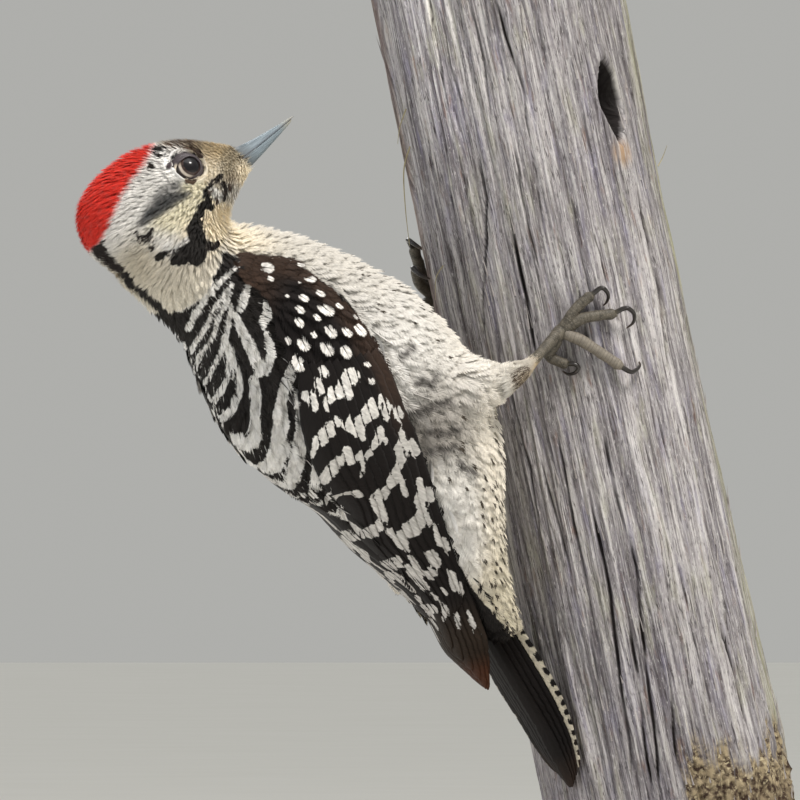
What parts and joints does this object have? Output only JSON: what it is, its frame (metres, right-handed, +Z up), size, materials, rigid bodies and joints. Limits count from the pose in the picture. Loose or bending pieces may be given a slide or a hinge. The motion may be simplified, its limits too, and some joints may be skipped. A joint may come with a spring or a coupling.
{
  "type": "ladder-backed woodpecker",
  "caption": "A still, life-size male ladder-backed woodpecker clinging to a cut length of weathered trunk, held up by a plain round base and rod.",
  "frame": {"origin": "centre of the underside of the stand's base", "axes": "+Z up, +X to the right and +Y away as the model is seen from its display side, with the trunk's top leaning to -X and the bird on its left"},
  "size_m": [0.1488, 0.124, 0.194],
  "materials": {
    "plumage": "soft barred and spotted feathers, matte",
    "bill_horn": "smooth blue-grey horn, satin",
    "claw_horn": "smooth black horn",
    "leg_skin": "scaly grey-olive skin",
    "eye": "clear wet cornea over a dark red-brown iris",
    "weathered_wood": "barkless, sun-greyed, cracked along the grain",
    "base_wood": "dark stained, satin lacquer",
    "rod_steel": "brushed"
  },
  "bodies": {
    "root": {"head": "plumage", "neck": "plumage", "torso": "plumage", "tail": "plumage", "bill_upper": "bill_horn", "bill_lower": "bill_horn", "eye_left": "eye", "wing_left": "plumage", "thigh_left": "plumage", "tarsus_left": "leg_skin", "foot_left": "leg_skin", "claw_left_1": "claw_horn", "claw_left_2": "claw_horn", "claw_left_3": "claw_horn", "claw_left_4": "claw_horn", "eye_right": "eye", "wing_right": "plumage", "thigh_right": "plumage", "tarsus_right": "leg_skin", "foot_right": "leg_skin", "claw_right_1": "claw_horn", "claw_right_2": "claw_horn", "claw_right_3": "claw_horn", "claw_right_4": "claw_horn", "perch": "weathered_wood", "stand_rod": "rod_steel", "stand_base": "base_wood"}
  },
  "joints": []
}
